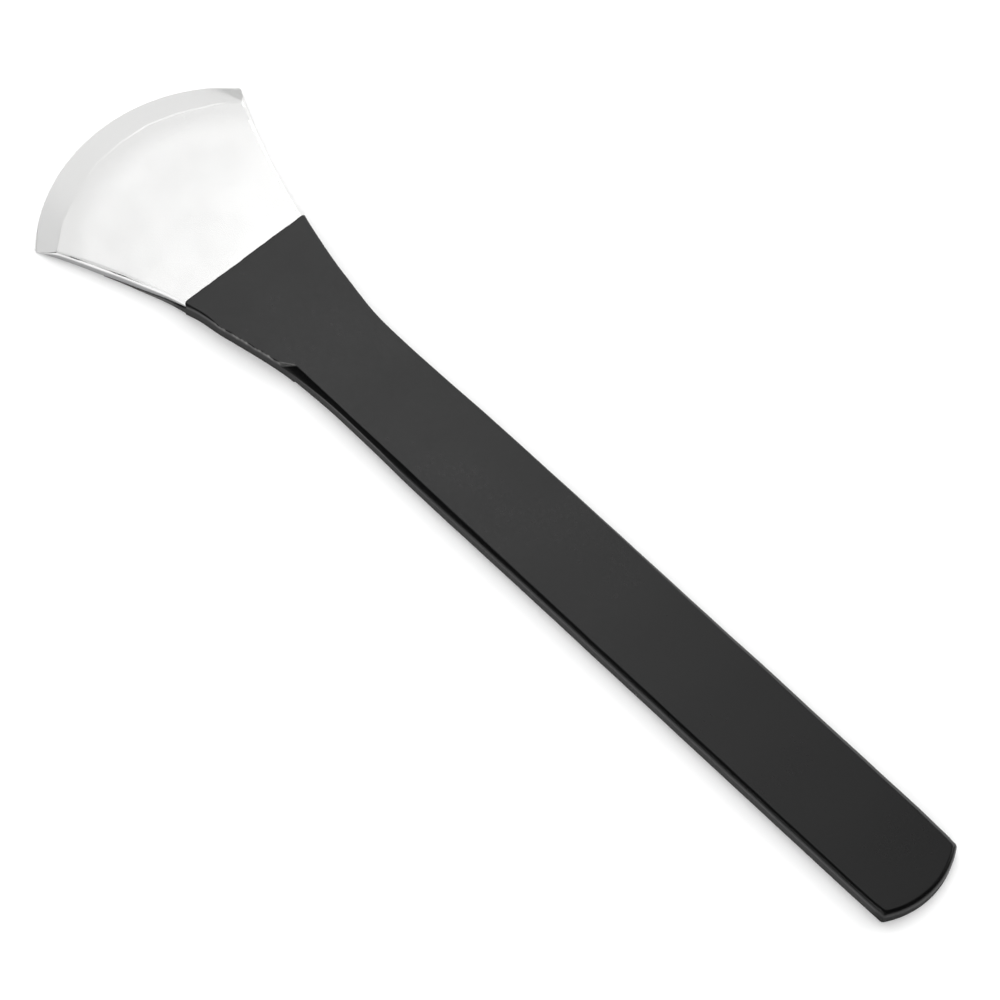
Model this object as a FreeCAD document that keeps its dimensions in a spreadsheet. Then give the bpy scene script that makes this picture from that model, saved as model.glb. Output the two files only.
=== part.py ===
"""Round-head paring knife of the kind used for leather and bookbinding, as a parametric FreeCAD document.

The knife is one flat steel forging: a fan-shaped head with a single-bevel round edge, a neck, and a
flat bar for a handle.  A thin black coating covers the handle and the flare behind the head, and runs
out in two tongues along the side walls of the head, because the head's faces were ground bright
after the coating was put on.

Frame: +X along the knife towards the cutting edge, +Z up, Z = 0 at the underside of the coating,
origin at the middle of the overall length.  Millimetres.
"""
import FreeCAD, Part
import math
import os

import Sketcher

Vector = FreeCAD.Vector
Rotation = FreeCAD.Rotation
Placement = FreeCAD.Placement

# Driving dimensions.  Lengths in millimetres, angles in degrees.
SIZES = {
    "overall_length": 200.0,
    "steel_thickness": 3.0,
    "coat_thickness": 0.2,
    # handle bar, bare steel
    "handle_half_width": 9.15,
    "tail_radius": 15.8,
    "wall_draft": 2.5,
    # side arcs of the waist, the neck and the flare, and the stations where they meet
    "waist_start": 5.0,
    "waist_radius": 450.0,
    "neck_station": 29.0,
    "neck_radius": 100.0,
    "flare_station": 43.0,
    "flare_radius": 143.0,
    # round cutting edge and its bevel
    "edge_radius": 33.7,
    "bevel_width": 5.1,
    "blank_margin": 0.3,
    "bevel_height": 1.28,
    "bevel_pull_back": 8.5,
    "facet_start_angle": 38.0,
    "facet_end_angle": 48.0,
    "facet_depth": 0.2,
    "facet_inner_radius": 29.8,
    # ground face of the head
    "grind_start": 57.0,
    "grind_angle": 2.6,
    # long chamfers of the bar, measured over the coating, stopped at the neck
    "tail_chamfer": 0.78,
    "chamfer_line_tail": 8.4,
    "chamfer_line_neck": 8.2,
    "chamfer_stop": 40.2,
    "chamfer_stop_angle": -55.0,
    "edge_round": 0.35,
    # front end of the coating
    "coat_line": 62.1,
    "coat_skew": 2.9,
    "coat_corner": 0.6,
    "coat_edge_half": 13.9,
    "coat_edge_inset": 0.05,
    "tongue_height": 2.3,
    "tongue_end": 77.0,
    # bright chamfer along each side of the head, wider towards the tip
    "head_chamfer": 0.4,
    "head_chamfer_shift": 3.0,
}

# How far a cutting tool reaches past the steel that it removes.
OVERCUT = 3.0
# How far behind the cutting edge the bevel's block starts, as a share of the edge's radius.
BEVEL_BLOCK_SHARE = 0.8
# Angle through which the cutter turns that chamfers one side of the head.
HEAD_CHAMFER_SWEEP = 60.0
# A chamfer plane at 45 degrees that is moved inwards by one coat's thickness meets the steel's own
# faces nearer its corner by these shares of that thickness.
LEG_SHARE = 2.0 - math.sqrt(2.0)
LINE_SHARE = math.sqrt(2.0) - 1.0

doc = FreeCAD.newDocument("paring_knife")
sheet = doc.addObject("Spreadsheet::Sheet", "dims")
for row, (alias, value) in enumerate(SIZES.items(), start=1):
    sheet.set("A%d" % row, alias)
    sheet.set("B%d" % row, str(value))
    sheet.setAlias("B%d" % row, alias)
doc.recompute()


def origin_plane(body, role):
    """The origin plane of a body that has the given role."""
    return next(item for item in body.Origin.OriginFeatures if item.Role == role)


def new_sketch(body, name, role):
    """A sketch on one of the body's own origin planes."""
    sketch = body.newObject("Sketcher::SketchObject", name)
    sketch.AttachmentSupport = [(origin_plane(body, role), "")]
    sketch.MapMode = "FlatFace"
    return sketch


def constrain(sketch, name, kind, *references, value, expression):
    """A dimension of the sketch, driven by an expression over the sheet."""
    index = sketch.addConstraint(Sketcher.Constraint(kind, *references, value))
    sketch.renameConstraint(index, name)
    sketch.setExpression("Constraints." + name, expression)


def polygon(sketch, corners):
    """A closed polygon.  Each corner is ((x, y), (x expression, y expression))."""
    points = [Vector(x, y, 0) for (x, y), _ in corners]
    count = len(points)
    lines = [
        sketch.addGeometry(Part.LineSegment(points[i], points[(i + 1) % count]), False)
        for i in range(count)
    ]
    for i in range(count):
        sketch.addConstraint(Sketcher.Constraint("Coincident", lines[i], 2, lines[(i + 1) % count], 1))
    for i, ((x, y), (along, across)) in enumerate(corners):
        constrain(sketch, "corner%dx" % i, "DistanceX", lines[i], 1, value=x, expression=along)
        constrain(sketch, "corner%dy" % i, "DistanceY", lines[i], 1, value=y, expression=across)


def side_stations():
    """Points and arc centres of the bare steel's side at positive Y, from tail to head."""
    s = SIZES
    half = s["handle_half_width"]
    tail_centre = s["tail_radius"] + s["coat_thickness"] - s["overall_length"] / 2
    edge_centre = s["overall_length"] / 2 - s["edge_radius"]
    tail = Vector(tail_centre - math.sqrt(s["tail_radius"] ** 2 - half**2), half, 0)
    waist = Vector(s["waist_start"], half, 0)
    waist_centre = waist - Vector(0, s["waist_radius"], 0)
    # the two waist arcs have one radius, so they meet half way
    run = (s["neck_station"] - s["waist_start"]) / 2
    dip = s["waist_radius"] - math.sqrt(s["waist_radius"] ** 2 - run**2)
    middle = waist + Vector(run, -dip, 0)
    neck = waist + Vector(2 * run, -2 * dip, 0)
    hollow_centre = neck + Vector(0, s["waist_radius"], 0)
    neck_centre = neck + Vector(0, s["neck_radius"], 0)
    lean = math.asin((s["flare_station"] - s["neck_station"]) / s["neck_radius"])
    outward = Vector(-math.sin(lean), math.cos(lean), 0)
    flare = neck_centre - outward * s["neck_radius"]
    flare_centre = flare + outward * s["flare_radius"]
    # the flare ends where its circle crosses the blank's front, a margin outside the cutting edge
    to_edge = Vector(edge_centre, 0, 0) - flare_centre
    apart = to_edge.Length
    front_radius = s["edge_radius"] + s["blank_margin"]
    along = (apart**2 + s["flare_radius"] ** 2 - front_radius**2) / (2 * apart)
    off = math.sqrt(s["flare_radius"] ** 2 - along**2)
    unit = to_edge / apart
    tip = flare_centre + unit * along + Vector(-unit.y, unit.x, 0) * off
    return {
        "tail": tail,
        "waist": waist,
        "waist_centre": waist_centre,
        "middle": middle,
        "neck": neck,
        "hollow_centre": hollow_centre,
        "neck_centre": neck_centre,
        "flare": flare,
        "flare_centre": flare_centre,
        "tip": tip,
        "tail_centre": Vector(tail_centre, 0, 0),
        "edge_centre": Vector(edge_centre, 0, 0),
    }


def arc_between(centre, first, last):
    """The arc about centre that runs anticlockwise from first to last."""
    spoke = first - centre
    end_spoke = last - centre
    start = math.atan2(spoke.y, spoke.x)
    end = math.atan2(end_spoke.y, end_spoke.x)
    if end < start:
        end += 2 * math.pi
    return Part.ArcOfCircle(Part.Circle(centre, Vector(0, 0, 1), spoke.Length), start, end)


def flip(point, sign):
    """The point on the side of the knife given by sign."""
    return Vector(point.x, sign * point.y, 0)


def draw_outline(sketch, cover):
    """The plan outline of the steel, moved outwards by the cover (an expression)."""
    at = side_stations()
    ends = {}
    for sign in (1, -1):
        side = "left" if sign > 0 else "right"
        # (centre, first point, last point, True where the side bulges outwards)
        arcs = [
            ("waist", "waist_centre", "waist", "middle", True),
            ("hollow", "hollow_centre", "middle", "neck", False),
            ("neck", "neck_centre", "neck", "flare", False),
            ("flare", "flare_centre", "flare", "tip", False),
        ]
        bar = sketch.addGeometry(
            Part.LineSegment(flip(at["tail"], sign), flip(at["waist"], sign)), False
        )
        sketch.addConstraint(Sketcher.Constraint("Horizontal", bar))
        constrain(
            sketch, side + "_half", "DistanceY", bar, 1,
            value=sign * SIZES["handle_half_width"],
            expression="%d * (dims.handle_half_width + %s)" % (sign, cover),
        )
        constrain(
            sketch, side + "_waist", "DistanceX", bar, 2,
            value=SIZES["waist_start"], expression="dims.waist_start",
        )
        last, last_end = bar, 2
        for name, centre, first, second, bulges in arcs:
            forwards = bulges != (sign > 0)
            points = [flip(at[first], sign), flip(at[second], sign)]
            if not forwards:
                points.reverse()
            arc = sketch.addGeometry(arc_between(flip(at[centre], sign), *points), False)
            near, far = (1, 2) if forwards else (2, 1)
            sketch.addConstraint(Sketcher.Constraint("Tangent", last, last_end, arc, near))
            size = "waist" if name == "hollow" else name
            constrain(
                sketch, side + "_" + name + "_radius", "Radius", arc,
                value=SIZES[size + "_radius"],
                expression="dims.%s_radius %s (%s)" % (size, "+" if bulges else "-", cover),
            )
            if name == "hollow":
                constrain(
                    sketch, side + "_hollow_centre", "DistanceX", arc, 3,
                    value=SIZES["neck_station"], expression="dims.neck_station",
                )
            if name in ("hollow", "neck"):
                station = {"hollow": "neck_station", "neck": "flare_station"}[name]
                # a parallel curve meets its neighbour on the same spoke, not at the same station
                shift = "" if name == "hollow" else (
                    " - (%s) * (dims.flare_station - dims.neck_station) / dims.neck_radius" % cover
                )
                constrain(
                    sketch, side + "_" + name + "_end", "DistanceX", arc, far,
                    value=SIZES[station], expression="dims." + station + shift,
                )
            last, last_end = arc, far
        ends[sign] = (bar, last, last_end)
    edge = sketch.addGeometry(
        arc_between(at["edge_centre"], flip(at["tip"], -1), at["tip"]), False
    )
    tail = sketch.addGeometry(
        arc_between(at["tail_centre"], at["tail"], flip(at["tail"], -1)), False
    )
    for sign, edge_end, tail_end in ((1, 2, 1), (-1, 1, 2)):
        bar, flare, flare_end = ends[sign]
        sketch.addConstraint(Sketcher.Constraint("Coincident", flare, flare_end, edge, edge_end))
        sketch.addConstraint(Sketcher.Constraint("Coincident", bar, 1, tail, tail_end))
    for name, arc, radius, centre in (
        (
            "edge", edge, "dims.edge_radius + dims.blank_margin",
            "dims.overall_length / 2 - dims.edge_radius",
        ),
        (
            "tail", tail, "dims.tail_radius",
            "dims.tail_radius + dims.coat_thickness - dims.overall_length / 2",
        ),
    ):
        constrain(
            sketch, name + "_radius", "Radius", arc,
            value=SIZES[name + "_radius"], expression="%s + %s" % (radius, cover),
        )
        sketch.addConstraint(Sketcher.Constraint("PointOnObject", arc, 3, -1))
        constrain(
            sketch, name + "_centre", "DistanceX", arc, 3,
            value=at[name + "_centre"].x, expression=centre,
        )


def edges_where(feature, test):
    """Names of the feature's edges for which test(edge) holds."""
    return [
        "Edge%d" % (i + 1) for i, edge in enumerate(feature.Shape.Edges) if test(edge)
    ]


def level_edge(edge, height):
    """True for an edge that lies in the plane Z = height."""
    box = edge.BoundBox
    return abs(box.ZMin - height) < 1e-4 and abs(box.ZMax - height) < 1e-4


def stopped_chamfer(body, name, cover, top):
    """One long 45 degree chamfer of the bar at positive Y, from the tail to its stop at the neck.

    The stop leans forwards as it goes outwards.
    """
    s = SIZES
    inset = s["coat_thickness"] - cover[1]
    inset_text = "(dims.coat_thickness - %s)" % cover[0]
    level = s["steel_thickness"] + 2 * s["coat_thickness"] - inset if top else inset
    level_text = (
        "dims.steel_thickness + 2 * dims.coat_thickness - %s" % inset_text if top else inset_text
    )
    rise = 1 if top else -1
    sections = []
    for place, station, turn in (
        ("tail", -s["overall_length"] / 2 - OVERCUT, 0.0),
        ("neck", s["chamfer_stop"], s["chamfer_stop_angle"]),
    ):
        sketch = new_sketch(body, name + "_" + place, "YZ_Plane")
        line = s["chamfer_line_" + place] - LINE_SHARE * inset
        sketch.AttachmentOffset = Placement(Vector(line, 0, station), Rotation(Vector(0, 1, 0), turn))
        sketch.setExpression(
            "AttachmentOffset.Base.x",
            "dims.chamfer_line_%s - %.6f * %s" % (place, LINE_SHARE, inset_text),
        )
        if place == "neck":
            sketch.setExpression("AttachmentOffset.Base.z", "dims.chamfer_stop")
            sketch.setExpression("AttachmentOffset.Rotation.Angle", "dims.chamfer_stop_angle")
        # the oblique stop stretches the section by one over the cosine of its angle
        stretch = 1 / math.cos(math.radians(turn))
        stretch_text = "/ cos(%s)" % ("dims.chamfer_stop_angle * 1 deg" if turn else "0 deg")
        near, far = -OVERCUT / 3, OVERCUT
        polygon(sketch, [
            ((near * stretch, level - rise * near),
             ("%g %s" % (near, stretch_text), "%s - (%g)" % (level_text, rise * near))),
            ((far * stretch, level - rise * far),
             ("%g %s" % (far, stretch_text), "%s - (%g)" % (level_text, rise * far))),
            ((far * stretch, level - rise * near),
             ("%g %s" % (far, stretch_text), "%s - (%g)" % (level_text, rise * near))),
        ])
        sections.append(sketch)
    doc.recompute()
    loft = body.newObject("PartDesign::SubtractiveLoft", name)
    loft.Profile = sections[0]
    loft.Sections = [sections[1]]
    loft.Ruled = True
    doc.recompute()
    return loft


def forging(name, cover):
    """The forged blank grown outwards by the cover, given as (expression, value)."""
    text, grown = cover
    s = SIZES
    body = doc.addObject("PartDesign::Body", name)
    outline = new_sketch(body, name + "_outline", "XY_Plane")
    outline.setExpression("AttachmentOffset.Base.z", "dims.coat_thickness - %s" % text)
    draw_outline(outline, text)
    doc.recompute()
    blank = body.newObject("PartDesign::Pad", name + "_blank")
    blank.Profile = outline
    blank.setExpression("Length", "dims.steel_thickness + 2 * %s" % text)
    blank.setExpression("TaperAngle", "-dims.wall_draft")
    doc.recompute()

    low = s["coat_thickness"] - grown
    high = low + s["steel_thickness"] + 2 * grown
    tail_limit = -s["overall_length"] / 2 + s["tail_radius"] / 2
    inset_text = "(dims.coat_thickness - %s)" % text

    tail_chamfer = body.newObject("PartDesign::Chamfer", name + "_tail_chamfer")
    tail_chamfer.Base = (blank, edges_where(
        blank,
        lambda edge: (level_edge(edge, low) or level_edge(edge, high)) and edge.BoundBox.XMax < tail_limit,
    ))
    tail_chamfer.setExpression("Size", "dims.tail_chamfer - %.6f * %s" % (LEG_SHARE, inset_text))
    doc.recompute()

    rounding = body.newObject("PartDesign::Fillet", name + "_edge_round")
    rounding.Base = (tail_chamfer, edges_where(
        tail_chamfer,
        lambda edge: (level_edge(edge, low) or level_edge(edge, high))
        and edge.BoundBox.XMax > tail_limit
        and edge.BoundBox.YMin * edge.BoundBox.YMax > 0,
    ))
    rounding.setExpression("Radius", "dims.edge_round - %s" % inset_text)
    doc.recompute()

    cuts = [
        stopped_chamfer(body, name + "_upper_chamfer", cover, True),
        stopped_chamfer(body, name + "_lower_chamfer", cover, False),
    ]
    mirror = body.newObject("PartDesign::Mirrored", name + "_chamfers")
    mirror.Originals = cuts
    mirror.MirrorPlane = (origin_plane(body, "XZ_Plane"), [""])
    body.Tip = mirror
    doc.recompute()
    return body


def side_view_pocket(body, name, corners, turn=None):
    """Cuts a side-view polygon right across the body, turned about Z where a skew is given."""
    sketch = new_sketch(body, name + "_profile", "XZ_Plane")
    if turn:
        sketch.AttachmentOffset = Placement(Vector(0, 0, 0), Rotation(Vector(0, 1, 0), -SIZES[turn]))
        sketch.setExpression("AttachmentOffset.Rotation.Angle", "-dims." + turn)
    polygon(sketch, corners)
    doc.recompute()
    pocket = body.newObject("PartDesign::Pocket", name)
    pocket.Profile = sketch
    pocket.Midplane = True
    pocket.setExpression("Length", "4 * dims.edge_radius")
    doc.recompute()
    return pocket


def grind_face(body):
    """The head's upper face, ground down in one long slope towards the edge."""
    s = SIZES
    high = s["coat_thickness"] + s["steel_thickness"]
    front = s["overall_length"] / 2 + OVERCUT
    fall = math.tan(math.radians(s["grind_angle"]))
    top_text = "dims.coat_thickness + dims.steel_thickness"
    front_text = "dims.overall_length / 2 + %g" % OVERCUT
    run_text = "(dims.overall_length / 2 + %g - dims.grind_start)" % OVERCUT
    body.Tip = side_view_pocket(body, "ground_face", [
        ((s["grind_start"], high), ("dims.grind_start", top_text)),
        (
            (front, high - (front - s["grind_start"]) * fall),
            (front_text, "%s - %s * tan(dims.grind_angle * 1 deg)" % (top_text, run_text)),
        ),
        ((front, high + OVERCUT), (front_text, "%s + %g" % (top_text, OVERCUT))),
        ((s["grind_start"], high + OVERCUT), ("dims.grind_start", "%s + %g" % (top_text, OVERCUT))),
    ])


def chamfer_head(body):
    """The bright chamfer along both sides of the ground face, wider towards the tips.

    It is turned about an axis square to the ground face.  The axis stands ahead of the flare's own
    centre, so the chamfer leaves the side line as it goes forwards.
    """
    s = SIZES
    at = side_stations()
    tilt = math.radians(s["grind_angle"])
    normal = Vector(math.sin(tilt), 0, math.cos(tilt))
    foot = at["flare_centre"] + Vector(s["head_chamfer_shift"], 0, 0)
    top = s["coat_thickness"] + s["steel_thickness"]
    foot.z = top - (foot.x - s["grind_start"]) * math.tan(tilt)
    # where the side leaves the coating, seen from the flare's centre
    lean = math.asin((s["coat_line"] - at["flare_centre"].x) / s["flare_radius"])
    outward = Vector(math.sin(lean), -math.cos(lean), 0)
    reach = s["flare_radius"] + s["head_chamfer"] - s["head_chamfer_shift"] * outward.x
    radial = (outward - normal * outward.dot(normal)).normalize()
    side = radial.cross(normal)
    sketch = new_sketch(body, "head_chamfer_section", "XY_Plane")
    sketch.AttachmentOffset = Placement(FreeCAD.Matrix(
        radial.x, normal.x, side.x, foot.x,
        radial.y, normal.y, side.y, foot.y,
        radial.z, normal.z, side.z, foot.z,
        0, 0, 0, 1,
    ))
    reach_text = "(dims.flare_radius + dims.head_chamfer - dims.head_chamfer_shift * %.6f)" % outward.x
    polygon(sketch, [
        ((reach + OVERCUT, OVERCUT),
         ("%s + %g" % (reach_text, OVERCUT), "%g" % OVERCUT)),
        ((reach - OVERCUT, OVERCUT),
         ("%s - %g" % (reach_text, OVERCUT), "%g" % OVERCUT)),
        ((reach - OVERCUT, -OVERCUT),
         ("%s - %g" % (reach_text, OVERCUT), "%g" % -OVERCUT)),
    ])
    doc.recompute()
    groove = body.newObject("PartDesign::Groove", "head_chamfer")
    groove.Profile = sketch
    groove.ReferenceAxis = (sketch, ["V_Axis"])
    groove.Angle = HEAD_CHAMFER_SWEEP
    groove.Midplane = True
    doc.recompute()
    mirror = body.newObject("PartDesign::Mirrored", "head_chamfers")
    mirror.Originals = [groove]
    mirror.MirrorPlane = (origin_plane(body, "XZ_Plane"), [""])
    body.Tip = mirror
    doc.recompute()


def bevel_waste():
    """What the bevel takes off: a block in front of the head, less an oblique cone.

    The cone's level sections are circles.  At the underside of the steel the circle is the cutting
    edge.  One bevel height above, its centre has moved back and its radius has grown, so the bevel
    is widest in the middle of the edge and narrower and steeper at the tips.
    """
    circles = []
    for name, heights in (("bevel_low", -1), ("bevel_high", 3)):
        circle = doc.addObject("Part::Circle", name)
        # half a turn puts the cone's seam behind the head, clear of the bevel
        circle.Placement = Placement(Vector(0, 0, 0), Rotation(Vector(0, 0, 1), 180))
        circle.setExpression(
            "Radius",
            "dims.edge_radius + %d * (dims.bevel_pull_back - dims.bevel_width)" % heights,
        )
        circle.setExpression(
            "Placement.Base.x",
            "dims.overall_length / 2 - dims.edge_radius - %d * dims.bevel_pull_back" % heights,
        )
        circle.setExpression("Placement.Base.z", "dims.coat_thickness + %d * dims.bevel_height" % heights)
        circles.append(circle)
    cone = doc.addObject("Part::Loft", "bevel_cone")
    cone.Sections = circles
    cone.Solid = True
    cone.Ruled = True
    block = doc.addObject("Part::Box", "bevel_block")
    block.setExpression("Length", "dims.edge_radius")
    block.setExpression("Width", "4 * dims.edge_radius")
    block.setExpression("Height", "dims.steel_thickness + %g" % (2 * OVERCUT))
    block.setExpression(
        "Placement.Base.x", "dims.overall_length / 2 - %g * dims.edge_radius" % BEVEL_BLOCK_SHARE
    )
    block.setExpression("Placement.Base.y", "-2 * dims.edge_radius")
    block.setExpression("Placement.Base.z", "dims.coat_thickness - %g" % OVERCUT)
    waste = doc.addObject("Part::Cut", "bevel_waste")
    waste.Base = block
    waste.Tool = cone
    return waste


def tip_facet(name, sign):
    """A box whose underside is the steeper flat ground across one tip of the bevel."""
    s = SIZES
    centre = Vector(s["overall_length"] / 2 - s["edge_radius"], 0, s["coat_thickness"])

    def polar(radius, angle, height):
        angle = math.radians(sign * angle)
        return centre + Vector(radius * math.cos(angle), radius * math.sin(angle), height)

    start = polar(s["edge_radius"], s["facet_start_angle"], 0)
    end = polar(s["edge_radius"] - s["facet_depth"], s["facet_end_angle"], 0)
    inner = polar(s["facet_inner_radius"], s["facet_end_angle"], 0)
    fall = math.tan(math.radians(s["grind_angle"]))
    inner.z += s["steel_thickness"] - (inner.x - s["grind_start"]) * fall
    along = (end - start).normalize()
    up = along.cross(inner - start).normalize()
    if up.z < 0:
        up = -up
    across = up.cross(along)
    box = doc.addObject("Part::Box", name)
    box.setExpression("Length", "dims.edge_radius")
    box.setExpression("Width", "dims.edge_radius / 2")
    box.setExpression("Height", "2 * dims.steel_thickness")
    corner = start - along * s["edge_radius"] / 2 - across * s["edge_radius"] / 4
    frame = FreeCAD.Matrix(
        along.x, across.x, up.x, corner.x,
        along.y, across.y, up.y, corner.y,
        along.z, across.z, up.z, corner.z,
        0, 0, 0, 1,
    )
    box.Placement = Placement(frame)
    return box


def steel_blade_and_tang():
    """The forging with its head ground, bevelled and rounded along the sides."""
    body = forging("forged_blank", ("0", 0.0))
    grind_face(body)
    chamfer_head(body)
    facets = doc.addObject("Part::MultiFuse", "tip_facets")
    facets.Shapes = [tip_facet("left_tip_facet", 1), tip_facet("right_tip_facet", -1)]
    bevelled = doc.addObject("Part::Cut", "bevelled")
    bevelled.Base = body
    bevelled.Tool = bevel_waste()
    faceted = doc.addObject("Part::Cut", "faceted")
    faceted.Base = bevelled
    faceted.Tool = facets
    doc.recompute()
    return faceted


def round_coat_corners(body):
    """Rounds the two front corners of the coating's upper layer, seen from above."""
    s = SIZES
    at = side_stations()
    radius = s["coat_corner"]
    reach = s["flare_radius"] - s["coat_thickness"]
    sketch = new_sketch(body, "coat_corner_nicks", "XY_Plane")
    sketch.AttachmentOffset = Placement(
        Vector(s["coat_line"], 0, s["tongue_height"]), Rotation(Vector(0, 0, 1), -s["coat_skew"])
    )
    sketch.setExpression("AttachmentOffset.Base.x", "dims.coat_line")
    sketch.setExpression("AttachmentOffset.Base.z", "dims.tongue_height")
    for sign in (1, -1):
        station = s["coat_line"] + sign * s["coat_edge_half"] * math.sin(math.radians(s["coat_skew"]))
        side = at["flare_centre"].y - math.sqrt(reach**2 - (station - at["flare_centre"].x) ** 2)
        start = Vector(0, sign * (side - s["coat_edge_inset"] - radius), 0)
        end = start + Vector(-radius, sign * radius, 0)
        outer = end + Vector(0, sign * radius, 0)
        ahead = Vector(radius, outer.y, 0)
        inner = Vector(radius, start.y, 0)
        centre = start - Vector(radius, 0, 0)
        ends = (start, end) if sign > 0 else (end, start)
        sketch.addGeometry(arc_between(centre, *ends), False)
        for first, second in ((end, outer), (outer, ahead), (ahead, inner), (inner, start)):
            sketch.addGeometry(Part.LineSegment(first, second), False)
    doc.recompute()
    before = body.Tip.Shape.Volume
    pocket = body.newObject("PartDesign::Pocket", "coat_corners")
    pocket.Profile = sketch
    pocket.Reversed = True
    pocket.Type = "Length"
    pocket.setExpression("Length", "dims.steel_thickness")
    body.Tip = pocket
    doc.recompute()
    if pocket.Shape.Volume >= before:
        raise RuntimeError("the coating's corners were not rounded")


def handle_coating(steel):
    """The black coating: the forging's blank grown by one coat, less the steel and the bright head."""
    s = SIZES
    body = forging("coated_blank", ("dims.coat_thickness", s["coat_thickness"]))
    top = s["steel_thickness"] + 2 * s["coat_thickness"]
    front = s["overall_length"] / 2 + OVERCUT
    line = ("dims.coat_line", s["coat_line"])
    top_text = "dims.steel_thickness + 2 * dims.coat_thickness + %g" % OVERCUT
    front_text = "dims.overall_length / 2 + %g" % OVERCUT
    # seen from the side, a notch leaves a tongue of coating that tapers forwards down the wall
    side_view_pocket(body, "bright_head", [
        ((line[1], top + OVERCUT), (line[0], top_text)),
        ((line[1], s["tongue_height"]), (line[0], "dims.tongue_height")),
        ((s["tongue_end"], s["coat_thickness"]), ("dims.tongue_end", "dims.coat_thickness")),
        ((line[1], s["coat_thickness"]), (line[0], "dims.coat_thickness")),
        ((line[1], -OVERCUT), (line[0], "%g" % -OVERCUT)),
        ((front, -OVERCUT), (front_text, "%g" % -OVERCUT)),
        ((front, top + OVERCUT), (front_text, top_text)),
    ], turn="coat_skew")
    round_coat_corners(body)
    coating = doc.addObject("Part::Cut", "coating")
    coating.Base = body
    coating.Tool = steel
    doc.recompute()
    return coating


steel = steel_blade_and_tang()
steel.Label = "steel_blade_and_tang"
coating = handle_coating(steel)
coating.Label = "handle_coating"
doc.recompute()

for item in doc.Objects:
    if "Invalid" in item.State or "Error" in item.State:
        raise RuntimeError("%s failed: %s" % (item.Name, item.getStatusString()))
os.makedirs("parts", exist_ok=True)
for part in (steel, coating):
    if part.Shape.isNull() or not part.Shape.isValid() or len(part.Shape.Solids) != 1:
        raise RuntimeError("%s is not one valid solid" % part.Label)
for part in (steel, coating):
    part.Shape.exportStep("parts/%s.step" % part.Label)
    box = part.Shape.optimalBoundingBox()
    print("%s  %.1f mm3  X %.2f to %.2f  Y %.2f to %.2f  Z %.2f to %.2f" % (
        part.Label, part.Shape.Volume, box.XMin, box.XMax, box.YMin, box.YMax, box.ZMin, box.ZMax,
    ))
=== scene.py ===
import math

import bmesh
import bpy
import numpy as np
from mathutils import Matrix, Vector


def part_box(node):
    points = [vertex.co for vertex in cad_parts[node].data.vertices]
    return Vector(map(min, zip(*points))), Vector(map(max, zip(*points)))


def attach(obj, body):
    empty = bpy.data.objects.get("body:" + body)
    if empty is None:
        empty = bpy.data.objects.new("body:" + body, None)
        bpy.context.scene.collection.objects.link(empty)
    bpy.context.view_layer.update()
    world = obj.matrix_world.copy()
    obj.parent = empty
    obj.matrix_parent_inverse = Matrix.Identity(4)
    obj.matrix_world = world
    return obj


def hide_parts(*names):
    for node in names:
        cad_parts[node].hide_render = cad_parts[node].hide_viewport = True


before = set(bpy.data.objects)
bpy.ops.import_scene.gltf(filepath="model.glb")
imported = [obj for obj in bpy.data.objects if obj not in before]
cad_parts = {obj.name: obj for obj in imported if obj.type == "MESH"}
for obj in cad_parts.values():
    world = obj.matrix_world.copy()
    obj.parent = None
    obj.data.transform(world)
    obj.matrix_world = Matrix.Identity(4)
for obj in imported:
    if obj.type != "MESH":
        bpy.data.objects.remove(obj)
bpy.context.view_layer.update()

MM = 0.001
# a height or a distance that never limits anything
NO_LIMIT = 99.0

steel_low, steel_high = (np.array(corner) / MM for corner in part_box("steel_blade_and_tang"))
coat_low, coat_high = (np.array(corner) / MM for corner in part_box("handle_coating"))

# ---------------------------------------------------------------- sizes of the forging
EDGE_X = steel_high[0]
STEEL_BASE = steel_low[2]
STEEL_TOP = steel_high[2]
COAT_BASE = coat_low[2]
COAT_TOP = coat_high[2]
COAT = STEEL_BASE - COAT_BASE

# bare bar at its underside, then the arcs of its waist, neck and flare
HANDLE_HALF = 9.15
WAIST_X, WAIST_RADIUS = 5.0, 450.0
NECK_X, NECK_RADIUS = 29.0, 100.0
FLARE_X, FLARE_RADIUS = 43.0, 143.0
# how far the tips are drawn in from the flare's arc, and where that starts
TIP_EASE, TIP_EASE_X, TIP_EASE_RUN = 0.2, 76.0, 12.0
TAIL_RADIUS = 15.8
TAIL_CENTRE = EDGE_X - 183.93
TAIL_X = TAIL_CENTRE - TAIL_RADIUS
EDGE_RADIUS = 33.7
EDGE_CENTRE = EDGE_X - EDGE_RADIUS
DRAFT = math.tan(math.radians(0.5))
TAIL_CORNER_BLEND = 0.4
TIP_BLEND = 0.12
# thickness left at the cutting edge
KEEN = 0.004

# the ground face, the bevel and the flat across each tip
GRIND_X = 57.0
GRIND_SLOPE = math.tan(math.radians(2.6))
BEVEL_WIDTH, BEVEL_HEIGHT, BEVEL_PULL = 5.1, 1.28, 8.5
FACET_START, FACET_END = math.radians(38.0), math.radians(48.0)
FACET_DEPTH, FACET_INNER = 0.2, 29.8
RIDGE_BLEND, FACET_BLEND = 0.012, 0.02

# the head's left edge: a shallow eased facet, then a steep one down to the wall
EASE_SLOPE = math.tan(math.radians(7.0))
STEEP_SLOPE, STEEP_LEG = math.tan(math.radians(65.0)), 0.26
# the head's right edge: a chamfer that widens forwards
RIGHT_LEG, RIGHT_LEG_GROWTH = 0.4, 0.35
LEFT_CREASE, RIGHT_CREASE = 0.002, 0.03
# how far the head's edges are rounded: left, right, underside, cutting edge
LEFT_SOFT, RIGHT_SOFT, UNDER_SOFT, KEEN_SOFT = 0.04, 0.16, 0.05, 0.004

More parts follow.
